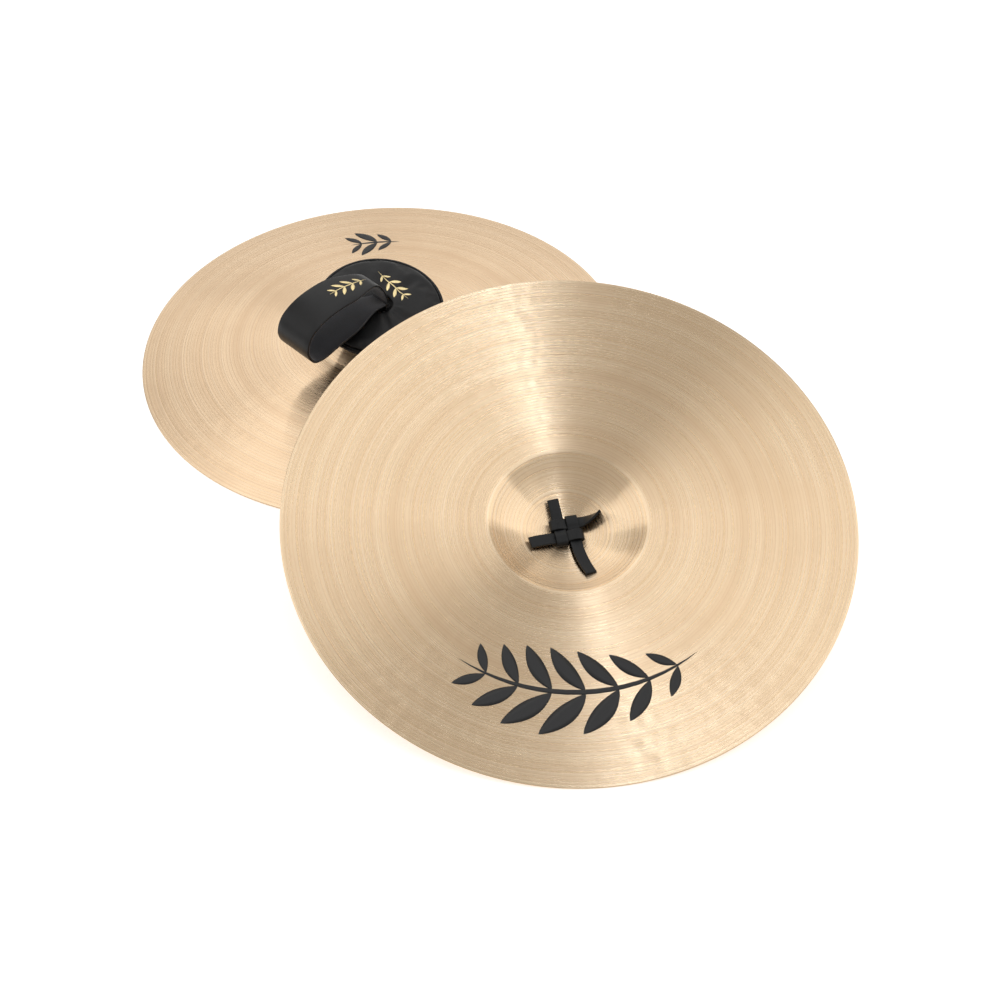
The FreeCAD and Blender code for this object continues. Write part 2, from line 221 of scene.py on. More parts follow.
class Nodes:
    """A few short calls that build a node tree."""

    def __init__(self, name):
        self.material = bpy.data.materials.new(name)
        self.material.use_nodes = True
        self.tree = self.material.node_tree
        self.shader = self.tree.nodes["Principled BSDF"]
        materials[name] = self.material

    def node(self, kind, inputs=None, **settings):
        n = self.tree.nodes.new(kind)
        for key, value in settings.items():
            setattr(n, key, value)
        for key, value in (inputs or {}).items():
            if isinstance(value, bpy.types.NodeSocket):
                self.tree.links.new(value, n.inputs[key])
            else:
                n.inputs[key].default_value = value
        return n

    def math(self, operation, a, b=0.0):
        return self.node("ShaderNodeMath", {0: a, 1: b}, operation=operation).outputs[0]

    def place(self):
        return self.node("ShaderNodeTexCoord").outputs["Object"]

    def noise(self, at, scale, detail=4.0, rough=0.55):
        return self.node("ShaderNodeTexNoise", {"Vector": at, "Scale": scale, "Detail": detail,
                                                "Roughness": rough}).outputs["Fac"]

    def ramp(self, value, stops):
        n = self.node("ShaderNodeValToRGB", {"Fac": value})
        for i, (at, colour) in enumerate(stops):
            e = n.color_ramp.elements[i] if i < 2 else n.color_ramp.elements.new(at)
            e.position = at
            e.color = (*colour, 1)
        return n.outputs["Color"]

    def levels(self, value, low, high, to_low, to_high):
        return self.node("ShaderNodeMapRange", {"Value": value, "From Min": low, "From Max": high,
                                                "To Min": to_low, "To Max": to_high}).outputs[0]

    def mix(self, factor, a, b):
        n = self.node("ShaderNodeMix", data_type="RGBA", blend_type="MIX")
        for key, value in ((0, factor), (6, a), (7, b)):
            if isinstance(value, bpy.types.NodeSocket):
                self.tree.links.new(value, n.inputs[key])
            else:
                n.inputs[key].default_value = (*value, 1) if isinstance(value, tuple) else value
        return n.outputs[2]

    def bump(self, height, strength, distance, normal=None):
        inputs = {"Height": height, "Strength": strength, "Distance": distance}
        if normal is not None:
            inputs["Normal"] = normal
        return self.node("ShaderNodeBump", inputs).outputs[0]

    def set(self, **values):
        names = {"colour": "Base Color", "roughness": "Roughness", "metallic": "Metallic",
                 "normal": "Normal", "anisotropic": "Anisotropic", "rotation": "Anisotropic Rotation",
                 "tangent": "Tangent", "sheen": "Sheen Weight", "sheen_roughness": "Sheen Roughness",
                 "specular": "Specular IOR Level"}
        for key, value in values.items():
            socket = self.shader.inputs[names[key]]
            if isinstance(value, bpy.types.NodeSocket):
                self.tree.links.new(value, socket)
            else:
                socket.default_value = (*value, 1) if isinstance(value, tuple) else value
        return self.material


def bronze(name, light, dark, deep):
    """Lathed, hammered bronze: rings of tone, fine grooves, shallow dimples and a faint patina."""
    n = Nodes(name)
    at = n.place()
    xyz = n.node("ShaderNodeSeparateXYZ", {"Vector": at})
    radius = n.math("SQRT", n.math("ADD", n.math("MULTIPLY", xyz.outputs[0], xyz.outputs[0]),
                                   n.math("MULTIPLY", xyz.outputs[1], xyz.outputs[1])))
    rings = n.node("ShaderNodeTexNoise", {"W": radius, "Scale": 420.0, "Detail": 1.5,
                                          "Roughness": 0.6}, noise_dimensions="1D").outputs["Fac"]
    bands = n.node("ShaderNodeTexNoise", {"W": radius, "Scale": 55.0, "Detail": 3.0},
                   noise_dimensions="1D").outputs["Fac"]
    patches = n.noise(at, 9.0, 5.0)
    stain = n.noise(at, 38.0, 6.0, 0.7)
    colour = n.ramp(n.levels(rings, 0.25, 0.75, 0.0, 1.0), [(0.0, dark), (1.0, light)])
    colour = n.mix(n.levels(bands, 0.35, 0.75, 0.0, 0.45), colour, deep)
    turns = n.math("ADD", n.math("MULTIPLY", radius, 2 * math.pi / LINE_PITCH),
                   n.math("MULTIPLY", bands, 14.0))
    lines = n.levels(n.math("SINE", turns), 0.35, 1.0, 0.0, 1.0)
    colour = n.mix(n.math("MULTIPLY", lines, n.levels(rings, 0.3, 0.7, 0.10, 0.55)), colour, deep)
    colour = n.mix(n.levels(patches, 0.48, 0.75, 0.0, 0.30), colour, deep)
    colour = n.mix(n.levels(stain, 0.60, 0.80, 0.0, 0.22), colour, tuple(c * 0.82 for c in deep))
    rough = n.math("ADD", n.levels(rings, 0.2, 0.8, 0.23, 0.31), n.levels(patches, 0.3, 0.7, -0.02, 0.04))
    dimples = n.node("ShaderNodeTexVoronoi", {"Vector": at, "Scale": 88.0, "Smoothness": 0.6},
                     feature="SMOOTH_F1").outputs["Distance"]
    hammer = n.bump(dimples, 0.09, 0.0012)
    marks = n.math("SUBTRACT", rings, n.math("MULTIPLY", lines, 0.35))
    grooves = n.bump(marks, 0.24, 0.00055, hammer)
    tangent = n.node("ShaderNodeTangent", direction_type="RADIAL", axis="Z").outputs[0]
    return n.set(colour=colour, metallic=1.0, roughness=rough, anisotropic=1.0, rotation=0.25,
                 tangent=tangent, normal=grooves)


def leather(name, base, worn, grain, rough_low, rough_high, depth):
    """Black leather: pebbled grain, fine pores, worn lighter patches."""
    n = Nodes(name)
    at = n.place()
    cells = n.node("ShaderNodeTexVoronoi", {"Vector": at, "Scale": grain}, feature="F1").outputs["Distance"]
    pores = n.noise(at, grain * 2.4, 6.0, 0.7)
    wear = n.noise(at, 42.0, 6.0, 0.65)
    colour = n.mix(n.levels(wear, 0.45, 0.78, 0.0, 0.6), base, worn)
    colour = n.mix(n.levels(pores, 0.55, 0.8, 0.0, 0.35), colour, tuple(c * 0.4 for c in base))
    rough = n.math("ADD", n.levels(wear, 0.3, 0.7, rough_low, rough_high),
                   n.levels(pores, 0.3, 0.7, -0.03, 0.05))
    normal = n.bump(pores, 0.25, depth * 0.5, n.bump(cells, 0.45, depth))
    return n.set(colour=colour, roughness=rough, normal=normal, specular=0.28)


def suede(name, base, nap):
    n = Nodes(name)
    at = n.place()
    fibres = n.noise(at, 1900.0, 6.0, 0.8)
    clouds = n.noise(at, 70.0, 5.0, 0.6)
    colour = n.mix(n.levels(clouds, 0.3, 0.75, 0.0, 1.0), base, nap)
    colour = n.mix(n.levels(fibres, 0.45, 0.75, 0.0, 0.5), colour, tuple(c * 2.2 for c in nap))
    normal = n.bump(fibres, 0.6, 0.0002)
    return n.set(colour=colour, roughness=0.95, normal=normal, sheen=0.35, sheen_roughness=0.6,
                 specular=0.15)


def felt(name, base):
    n = Nodes(name)
    fibres = n.noise(n.place(), 900.0, 8.0, 0.8)
    colour = n.mix(n.levels(fibres, 0.3, 0.75, 0.0, 1.0), tuple(c * 0.6 for c in base), base)
    return n.set(colour=colour, roughness=0.97, normal=n.bump(fibres, 0.8, 0.0003), specular=0.1)


def thread_material(name, base):
    n = Nodes(name)
    twist = n.noise(n.place(), 2600.0, 3.0)
    colour = n.mix(n.levels(twist, 0.35, 0.7, 0.0, 1.0), tuple(c * 0.5 for c in base), base)
    return n.set(colour=colour, roughness=0.6, normal=n.bump(twist, 0.5, 0.00012))


def ink(name, base, metal, rough):
    """Printed or foil ornament, slightly broken up like a thin coat."""
    n = Nodes(name)
    wear = n.noise(n.place(), 520.0, 6.0, 0.75)
    colour = n.mix(n.levels(wear, 0.5, 0.8, 0.0, 0.5), base, tuple(min(c * 1.7 + 0.01, 1) for c in base))
    return n.set(colour=colour, metallic=metal, roughness=n.levels(wear, 0.3, 0.7, rough, rough + 0.14),
                 normal=n.bump(wear, 0.2, 0.0001))


def floor_material(name):
    n = Nodes(name)
    grain = n.noise(n.place(), 3.0, 2.0)
    colour = n.mix(grain, (0.86, 0.86, 0.86), (0.88, 0.88, 0.88))
    n.shader.inputs["Emission Color"].default_value = (1, 1, 1, 1)
    n.shader.inputs["Emission Strength"].default_value = 0.50
    return n.set(colour=colour, roughness=0.9, specular=0.1)


# ---- the plates --------------------------------------------------------------------------------------

def plate_height(r, offset=0.0):
    """Height over the rim plane of the plate's inner face, or of the face offset outwards from it."""
    bow_z = -math.sqrt(BOW_RADIUS ** 2 - (RIM_RADIUS - RIM_FLAT) ** 2)
    bell_z = BELL_DEPTH - BELL_RADIUS
    fillet = BELL_FILLET + PLATE
    to_bow, to_bell, apart = BOW_RADIUS + fillet, BELL_RADIUS + fillet, bell_z - bow_z
    cz = bow_z + (apart ** 2 + to_bow ** 2 - to_bell ** 2) / (2 * apart)
    cr = math.sqrt(to_bow ** 2 - (cz - bow_z) ** 2)
    turn = fillet - offset
    foot_bow = cr * (BOW_RADIUS + offset) / to_bow
    foot_bell = cr * (BELL_RADIUS + offset) / to_bell
    if r >= foot_bow:
        return bow_z + math.sqrt((BOW_RADIUS + offset) ** 2 - r * r)
    if r <= foot_bell:
        return bell_z + math.sqrt((BELL_RADIUS + offset) ** 2 - r * r)
    return cz - math.sqrt(max(turn ** 2 - (r - cr) ** 2, 0.0))


def groove(r, seed):
    """The lathe's spiral tool marks, cut a few hundredths of a millimetre into the face."""
    wander = 0.35 * math.sin(r * 310 + seed) + 0.25 * math.sin(r * 97 + 2 * seed)
    cut = 0.5 - 0.5 * math.cos(2 * math.pi * r / GROOVE_PITCH + wander * 4)
    strong = 0.6 + 0.4 * math.sin(r * 173 + seed)
    edge = min(1.0, max(0.0, (RIM_RADIUS - 0.003 - r) / 0.004))
    return -GROOVE_DEPTH * MM * cut * strong * edge


def plate_piece(name, material, seed):
    """The whole plate as one lathed skin with real tool marks on both faces."""
    count, segments = ((240, 192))
    radii = [HOLE_RADIUS + (RIM_RADIUS - 0.0006 - HOLE_RADIUS) * i / (count - 1) for i in range(count)]
    outer = [(r, plate_height(r, PLATE) + groove(r, seed)) for r in radii]
    inner = [(r, max(plate_height(r) - groove(r, seed + 5), 0.0)) for r in radii if r < RIM_RADIUS - RIM_FLAT]
    top = plate_height(RIM_RADIUS, PLATE)
    rim = [(RIM_RADIUS - 0.00022, top), (RIM_RADIUS, top - 0.00022), (RIM_RADIUS, 0.00022),
           (RIM_RADIUS - 0.00022, 0.0), (RIM_RADIUS - RIM_FLAT, 0.0)]
    vertices, faces = lathe(outer + rim + inner[::-1], segments)
    return new_piece(name + "_cymbal_plate", vertices, faces, material, name + "_cymbal",
                     name + "_plate", slot="bronze_" + name, matrix=cymbal_frame(name))


# ---- printed and foil ornaments ----------------------------------------------------------------------

FOIL = 0.00006


def lens(length, width, at=(0, 0), turn=0.0, steps=18):
    """A pointed leaf as rows of points across it."""
    rows = []
    for i in range(steps + 1):
        t = i / steps
        half = width / 2 * math.sin(math.pi * t) ** 0.8
        x = (t - 0.5) * length
        c, s = math.cos(turn), math.sin(turn)
        rows.append([(at[0] + c * x - s * w, at[1] + s * x + c * w)
                     for w in (-half, -half / 3, half / 3, half)])
    return rows


def ornament(name, leaves, place, material, body, thick, matrix=None):
    """Leaves laid on a surface by place(u, v, height), as thin closed sheets."""
    vertices, faces = [], []
    for rows in leaves:
        n, m = len(rows), len(rows[0])
        base = len(vertices)
        for height in (0.0, thick):
            vertices += [place(u, v, height) for row in rows for u, v in row]
        under = grid_faces(n, m)
        faces += [tuple(base + k for k in reversed(f)) for f in under]
        faces += [tuple(base + n * m + k for k in f) for f in under]
        rim = list(range(m)) + [i * m + m - 1 for i in range(1, n)]
        rim += [(n - 1) * m + j for j in range(m - 2, -1, -1)] + [i * m for i in range(n - 2, 0, -1)]
        for a, b in zip(rim, rim[1:] + rim[:1]):
            faces.append((base + a, base + b, base + n * m + b, base + n * m + a))
    return new_piece(name, vertices, faces, material, body, matrix=matrix)


def leaf_row(length, height, count):
    """A level sprig: a slim stem with paired leaves that shrink towards its ends."""
    leaves = [lens(length, height * 0.055)]
    for i in range(count):
        t = (i + 0.5) / count
        x = (t - 0.5) * length * 0.9
        size = height * (0.42 + 0.58 * math.sin(math.pi * t))
        for side in (-1, 1):
            turn = side * 0.85
            leaves.append(lens(size * 0.62, size * 0.19, (x + size * 0.16, side * size * 0.25), turn))
    return leaves


def plate_print(name, matrix, centre_angle, radius, size, count, inside, material):
    """A black printed sprig that follows the plate's face."""
    length, height = size

    def place(u, v, up):
        a = centre_angle + u / radius
        r = radius + v
        base = plate_height(r, 0.0 if inside else PLATE)
        z = base - FOIL - up if inside else base + FOIL + up
        return matrix @ Vector((r * math.cos(a), r * math.sin(a), z))

    return ornament(name + "_cymbal_print", leaf_row(length, height, count), place, material,
                    name + "_cymbal", FOIL)


def strap_stamp(name, points, wave, centre, size, material):
    """A gold sprig along the upper leg of the loop, on its outer face."""
    path = smooth_path([(x * MM, z * MM) for x, z in points[1:7]], 10)
    out = (STRAP_LEATHER + STRAP_LINING) / 2 + FOIL

    def place(u, v, up):
        x = centre + u
        z = np.interp(x, path[:, 0], path[:, 1])
        slope = (np.interp(x + MM, path[:, 0], path[:, 1]) - z) / MM
        rise = (out + up) / math.hypot(1, slope)
        return x - slope * rise, v, z + rise - strap_cup(x, v, wave)

    return ornament(name + "_strap_stamp", leaf_row(*size, 4), place, material, name + "_hand_loop",
                    FOIL, loop_frame(name))


def pad_stamp(name, cover, centre, turn, size, material):
    """A gold sprig on the padded leather, laid on its real surface."""
    graph = bpy.context.evaluated_depsgraph_get()
    c, s = math.cos(turn), math.sin(turn)

    def place(u, v, up):
        x, y = centre[0] + u * c - v * s, centre[1] + u * s + v * c
        _, spot, _, _ = cover.ray_cast(Vector((x, y, 0.05)), Vector((0, 0, -1)), depsgraph=graph)
        return x, y, spot.z + FOIL + up

    return ornament(name + "_pad_stamp", leaf_row(*size, 4), place, material, name + "_pad", FOIL,
                    pad_frame(name))


# ---- the pads ----------------------------------------------------------------------------------------

def pad_profile(top, height):
    """Radius and height of the cover's upper face: flat sewn edge, shoulder, crown and the hole's lip."""
    edge = PAD_RADIUS - PAD_FLANGE
    brow = PAD_BASE + (height - PAD_BASE) * 0.18
    points = [(PAD_RADIUS - 0.0002, PAD_BASE), (PAD_RADIUS, PAD_BASE + 0.0004),
              (PAD_RADIUS, PAD_FLANGE_TOP - 0.0005), (PAD_RADIUS - 0.0005, PAD_FLANGE_TOP),
              (edge + 0.0020, PAD_FLANGE_TOP - 0.0001), (edge + 0.0013, PAD_FLANGE_TOP - 0.0007),
              (edge + 0.0006, PAD_FLANGE_TOP - 0.0012), (edge, PAD_FLANGE_TOP - 0.0010)]
    for i in range(1, 11):
        a = math.radians(90 * i / 10)
        points.append((edge - PAD_SHOULDER * (1 - math.cos(a)), brow + (height - brow) * math.sin(a)))
    for i in range(1, 9):
        t = i / 8
        points.append((edge - PAD_SHOULDER + (PAD_HOLE + 0.0022 - edge + PAD_SHOULDER) * t,
                       height + top * math.sin(math.pi * t)))
    for a in (30, 60, 90):
        a = math.radians(a)
        points.append((PAD_HOLE + 0.0022 * (1 - math.sin(a)), height - 0.0022 * (1 - math.cos(a))))
    return points + [(PAD_HOLE, PAD_BASE)]


PUFF_FRAMES = 18
PUFF_LIMIT = 0.0012       # the furthest a point of the cover may move


def puffed(piece, top, limit):
    """Cloth simulation: the padded dome is blown up from inside with its seam and its hole held."""
    mesh = piece.data
    held = piece.vertex_groups.new(name="held")
    inner, outer = PAD_HOLE + 0.0035, PAD_RADIUS - PAD_FLANGE - 0.0005
    for v in mesh.vertices:
        r = math.hypot(v.co.x, v.co.y)
        loose = inner < r < outer and v.co.z > PAD_FLANGE_TOP
        held.add([v.index], 0.0 if loose else 1.0, "REPLACE")
    start = np.array([v.co[:] for v in mesh.vertices])
    cloth = piece.modifiers.new("Cloth", "CLOTH")
    settings = cloth.settings
    settings.quality = 6
    settings.mass = 0.4
    settings.tension_stiffness = settings.compression_stiffness = 40
    settings.shear_stiffness = 15
    settings.bending_stiffness = 2
    settings.use_pressure = True
    settings.uniform_pressure_force = 5
    settings.vertex_group_mass = "held"
    settings.effector_weights.gravity = 0
    settings.shrink_min = -0.04
    cloth.collision_settings.use_collision = False
    cloth.point_cache.frame_end = PUFF_FRAMES
    scene = bpy.context.scene
    for f in range(1, PUFF_FRAMES + 1):
        scene.frame_set(f)
    graph = bpy.context.evaluated_depsgraph_get()
    blown = piece.evaluated_get(graph).to_mesh()
    end = np.array([v.co[:] for v in blown.vertices])
    piece.evaluated_get(graph).to_mesh_clear()
    piece.modifiers.remove(cloth)
    scene.frame_set(1)
    moved = end - start
    far = np.linalg.norm(moved, axis=1, keepdims=True)
    moved *= np.minimum(1.0, limit / np.maximum(far, 1e-9))
    final = start + moved
    final[:, 2] = np.minimum(final[:, 2], top)
    mesh.vertices.foreach_set("co", final.ravel())
    mesh.update()


def pad_cover(name, matrix, height, material):
    """Leather cover: blown up over its filling, with pull creases round the strap's hole."""
    segments = 96
    outline = pad_profile(-0.0009, height - 0.0005)
    vertices, faces = lathe(outline, segments)
    rng = random.Random(7 if name == "rear" else 11)
    phases = [(rng.choice((5, 7, 9, 12)), rng.uniform(0, 6.28), rng.uniform(0.4, 1.0)) for _ in range(5)]
    shaped = []
    for x, y, z in vertices:
        r, a = math.hypot(x, y), math.atan2(y, x)
        near = math.exp(-((r - PAD_HOLE) / 0.011) ** 2) if z > PAD_FLANGE_TOP else 0.0
        crease = sum(k * math.sin(m * a + p) for m, p, k in phases) / 5
        slack = 0.00020 * math.sin(3 * a + 1) * (1 if z > PAD_FLANGE_TOP else 0)
        shaped.append((x, y, z + 0.00055 * near * (crease - 0.6) + slack))
    piece = new_piece(name + "_pad_leather", shaped, faces, material, None, matrix=matrix)
    puffed(piece, height, PUFF_LIMIT)
    soften = piece.modifiers.new("Subdivision", "SUBSURF")
    soften.levels = soften.render_levels = 1
    finish_piece(piece, name + "_pad", (name + "_pad_cover",))
    return piece


def pad_disc(name, node, outline, matrix, material, slot):
    vertices, faces = lathe(outline, 128)
    return new_piece(name + "_" + node, vertices, faces, material, name + "_pad",
                     name + "_" + node, slot=slot, matrix=matrix)


def pad_stitches(name, matrix, material):
    """Single stitches that dip into the sewn edge at both ends."""
    count, radius, half = 92, PAD_RADIUS - PAD_FLANGE / 2, 0.00145
    vertices, faces = [], []
    for i in range(count):
        middle = 2 * math.pi * i / count
        path, ups, widths = [], [], []
        for j in range(7):
            t = j / 6 * 2 - 1
            a = middle + t * half / radius
            path.append((radius * math.cos(a), radius * math.sin(a),
                         PAD_FLANGE_TOP + 0.0002 - 0.00042 * t ** 4))
            ups.append((0, 0, 1))
            widths.append(0.00036)
        v, f = strip(path, ups, widths, -0.0003, 0.0003, 0.00028)
        faces += [tuple(k + len(vertices) for k in face) for face in f]
        vertices += v
    return new_piece(name + "_pad_thread", vertices, faces, material, name + "_pad",
                     name + "_pad_stitching", slot="thread_black", matrix=matrix)


def make_pad(name, height):
    matrix = pad_frame(name)
    cover = pad_cover(name, matrix, height, materials["pad_leather"])
    bevel, radius, top = 0.0003, PAD_RADIUS - 0.0002, PAD_BASE - 0.0001
    base = [(radius - bevel, 0), (radius, bevel), (radius, top), (BASE_HOLE, top), (BASE_HOLE, bevel),
            (BASE_HOLE + bevel, 0)]
    pad_disc(name, "pad_base", base, matrix, materials["pad_leather"], "leather_black")
    edge, top = PAD_RADIUS - PAD_FLANGE - 0.005, height - 0.0034
    filling = [(PAD_HOLE + 0.0018, PAD_BASE), (edge, PAD_BASE), (edge - 0.001, PAD_BASE + 0.0008),
               (edge - 0.007, top - 0.0009), (edge - 0.018, top), (PAD_HOLE + 0.0018, top)]
    pad_disc(name, "pad_filling", filling, matrix, materials["felt"], "felt_filling")
    pad_stitches(name, matrix, materials["thread"])
    return cover


# ---- the hand straps -----------------------------------------------------------------------------------

# Centre lines of the loops from root to root, as millimetres (outwards, up).
REAR_LOOP = [
    (-0.2, 2.0), (-0.4, 4.4), (3.4, 17.0), (13.0, 29.2), (32.0, 34.6), (54.0, 36.6), (77.0, 33.2),
    (95.0, 23.6), (101.8, 9.5), (97.0, -3.6), (86.0, -6.4), (68.0, -2.0), (46.0, 2.4), (23.0, 4.6),
    (4.6, 1.0), (2.0, 0.6),
]
FRONT_LOOP = [
    (1.7, 1.3), (20.0, 1.3), (40.0, 1.3), (60.0, 1.4), (74.0, 8.2), (91.0, 16.95), (105.0, 20.45),
    (114.0, 12.95), (109.0, 3.85), (98.0, -0.7), (88.0, -1.3), (60.0, -1.3), (30.0, -1.3), (1.7, -1.3),
]


def strap_half_width(x):
    t = min(max(x / STRAP_FLARE, 0.0), 1.0)
    return STRAP_ROOT_HALF + (STRAP_HALF - STRAP_ROOT_HALF) * t * t * (3 - 2 * t)


def strap_cup(x, y, wave):
    """How far the strap's edges hang under its middle line."""
    return wave * (y / STRAP_HALF) ** 2 * math.sin(min(max(x / 0.09, 0), 1) * math.pi)


def strap_layer(name, loop, points, low, high, inset, material, wave):
    """One leather of the strap, round the loop from root to root."""
    centre = smooth_path([(x * MM, z * MM) for x, z in points], 10)
    along = unit(np.gradient(centre, axis=0))
    out = np.stack([-along[:, 1], along[:, 0]], axis=1)
    middle = centre.mean(0)
    if ((centre - middle) * out).sum() < 0:
        out = -out
    path = [(x, 0.0, z) for x, z in centre]
    ups = [(x, 0.0, z) for x, z in out]
    widths = [strap_half_width(x) - inset for x, z in centre]
    vertices, faces = strip(path, ups, widths, low, high, 0.0006 if high - low > 0.0012 else 0.0003)
    shaped = [(x, y, z - strap_cup(x, y, wave)) for x, y, z in vertices]
    return new_piece(name, shaped, faces, material, None, matrix=loop)


def make_strap(name, points, wave):
    """Outer leather, suede lining and the ends gathered down through the pad."""
    loop = loop_frame(name)
    body, neck = name + "_hand_loop", name + "_neck"
    half = (STRAP_LEATHER + STRAP_LINING) / 2
    leather_layer = strap_layer(name + "_strap_outer", loop, points, half - STRAP_LEATHER, half, 0.0,
                                materials["strap_leather"], wave)
    lining = strap_layer(name + "_strap_suede", loop, points, -half, STRAP_LINING - half, 0.0003,
                         materials["suede"], wave)
    finish_piece(leather_layer, None, (name + "_strap_leather",))
    finish_piece(lining, None, (name + "_strap_lining",))
    for piece in (leather_layer, lining):
        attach(piece, body)
    make_neck(name, loop, neck)


def make_neck(name, loop, body):
    """The gathered ends: two leathers side by side that fold over the hinge line, then four thongs."""
    low = np.array(loop.inverted() @ pad_frame(name) @ Vector((0, 0, 0)))
    vertices, faces = [], []
    for side in (-1, 1):
        for lane in (-1, 1):
            ctrl, ups, widths = [], [], []
            stations = [(-0.04, 1.0), (0.25, 1.0), (0.5, 0.9), (0.72, 0.55), (0.88, 0.35), (1.0, 0.30)]
            for t, spread in stations:
                p = low * (1 - t)
                p = p + np.array((side * 0.0034 * spread, lane * (0.0024 + 0.0026 * (1 - spread) * 2.3), 0))
                ctrl.append(p)
            path = smooth_path(ctrl, 5)
            for i in range(len(path)):
                t = i / (len(path) - 1)
                ups.append((side, 0, 0))
                widths.append(0.0022 + 0.0026 * t)
            v, f = strip(path, ups, widths, -0.0011, 0.0011, 0.0007)
            faces += [tuple(k + len(vertices) for k in face) for face in f]
            vertices += v
    # The rounded fold on the hinge line, which both ends of the loop hang on.
    ring = 20
    stations = 9
    start = len(vertices)
    for i in range(stations):
        y = (i / (stations - 1) * 2 - 1) * STRAP_ROOT_HALF
        r = ROOT_RADIUS * (1 - 0.25 * abs(i / (stations - 1) * 2 - 1) ** 6)
        vertices += [(r * math.cos(a), y, r * math.sin(a)) for a in
                     (2 * math.pi * j / ring for j in range(ring))]
    faces += [tuple(start + k for k in f) for f in grid_faces(stations, ring, False, True)]
    faces.append(tuple(start + j for j in range(ring)))
    faces.append(tuple(start + (stations - 1) * ring + j for j in reversed(range(ring))))
    return new_piece(name + "_strap_ends", vertices, faces, materials["strap_leather"], body,
                     name + "_strap_neck", slot="leather_strap", matrix=loop)


# ---- the crown knots -------------------------------------------------------------------------------------

THONG_HALF = 0.0048
THONG = 0.0021
COLUMN = 0.0056
LAYER = 0.0023
FOOT = 0.00295
KNOT_TURN = 10
# Each tail past the knot: its length, then how far its end goes sideways and lifts, and its twist in degrees.
TAILS = {
    "back": dict(length=0.0180, side=-0.0008, lift=0.0036, twist=6),
    "right": dict(length=0.0195, side=-0.0050, lift=0.0060, twist=-68),
    "front": dict(length=0.0345, side=-0.0052, lift=0.0080, twist=-8),
    "left": dict(length=0.0215, side=-0.0022, lift=0.0035, twist=-10),
}


def thong_piece(name, side, number, knot, material):
    """One thong of the crown knot: out of the hole, folded back over a neighbour, under the next, and off
    as a loose tail. Its own column runs along +Y at -COLUMN."""
    tail = TAILS[side]
    middle, top = FOOT + LAYER, FOOT + 2 * LAYER
    x = -COLUMN
    points = [(-0.0025, -0.0025, -PLATE), (-0.0026, -0.0027, 0.0010), (-0.0042, -0.0046, FOOT - 0.0003),
              (x, -0.0078, FOOT), (x, -0.0106, FOOT + 0.0005), (x, -0.0122, middle - 0.0004),
              (x, -0.0112, top - 0.0004), (x, -0.0085, top + 0.0003), (x, -0.0052, top + 0.00035),
              (x, -0.0020, top - 0.0006), (x, 0.0, (top + middle) / 2), (x, 0.0022, middle + 0.0002),
              (x, 0.0056, middle), (x, 0.0100, middle)]
    reach, edge = tail["length"], COLUMN + THONG_HALF
    for i in range(1, 6):
        t = i / 5
        points.append((x + tail["side"] * t * t, edge + reach * t,
                       middle + tail["lift"] * t ** 1.6 + 0.0006 * math.sin(math.pi * t)))
    path = smooth_path(points, 6)
    along = unit(np.gradient(path, axis=0))
    ups, widths = [], []
    length = np.concatenate([[0], np.cumsum(np.linalg.norm(np.diff(path, axis=0), axis=1))])
    tail_start = length[-1] - reach
    for p, a, s in zip(path, along, length):
        across = np.array((1.0, 0.0, 0.0))
        up = np.cross(across, a)
        t = max(0.0, (s - tail_start) / reach)
        twist = math.radians(tail["twist"]) * t ** 0.8
        up = up * math.cos(twist) + across * math.sin(twist)
        ups.append(up)
        start = min(1.0, s / 0.009)
        widths.append((0.0021 + (THONG_HALF - 0.0021) * start ** 1.5) * (1 - 0.03 * t))
    vertices, faces = strip(path, ups, widths, -THONG / 2, THONG / 2, 0.0005)
    turn = Matrix.Rotation(math.radians(KNOT_TURN - 90 * number), 4, "Z")
    return new_piece(f"{name}_knot_{side}", vertices, faces, material, name + "_knot",
                     f"{name}_thong_{side}", slot="leather_strap", matrix=knot @ turn)


def make_knot(name):
    flip = Matrix.Translation((0, 0, BELL_DEPTH)) @ Matrix.Rotation(math.pi, 4, "X")
    knot = cymbal_frame(name) @ flip
    for number, side in enumerate(TAILS):
        thong_piece(name, side, number, knot, materials["thong_leather"])


# ---- stage -----------------------------------------------------------------------------------------------

OVERHEAD = Vector((0.255, 0.41, 2.2))    # where the hollow of the front plate gathers its reflections
OVERHEAD_GAP = 0.36
GAP_AZIMUTH = math.radians(73)
STREAK_AZIMUTH = math.radians(101)
STREAK_PLACE = 0.78                      # each streak strip's middle, from the overhead point
CAMERA_PLACE = (0.0272, -0.9132, 0.8696)
CAMERA_DOWN = 45.98                      # degrees under the horizon
CAMERA_LENS = 50.94                      # millimetres, on a 36 mm sensor
FLOOR_HALF = 6.0


def area_light(name, place, turn, size, power, colour=(1, 1, 1)):
    data = bpy.data.lights.new(name, "AREA")
    data.shape = "RECTANGLE"
    data.size, data.size_y = size
    data.energy = power
    data.color = colour
    light = bpy.data.objects.new(name, data)
    light.location = place
    light.rotation_euler = turn
    bpy.context.scene.collection.objects.link(light)


def overhead_light(name, gap, size, azimuth, power, onwards=0.0, colour=(1, 1, 1)):
    """A level panel over the front plate, its long side along azimuth, gap to the side of the middle."""
    along = Vector((math.cos(azimuth), math.sin(azimuth), 0))
    across = Vector((along.y, -along.x, 0))
    shift = gap + math.copysign(size[0] / 2, gap) if gap else 0.0
    drop = Vector((0, 0, 0 if gap else -0.04))
    place = OVERHEAD + across * shift + along * onwards + drop
    area_light(name, place, (0, 0, azimuth - math.pi / 2), size, power, colour)


def aimed_light(name, place, target, size, power):
    turn = (Vector(target) - Vector(place)).to_track_quat("-Z", "Y").to_euler()
    area_light(name, place, turn, size, power)


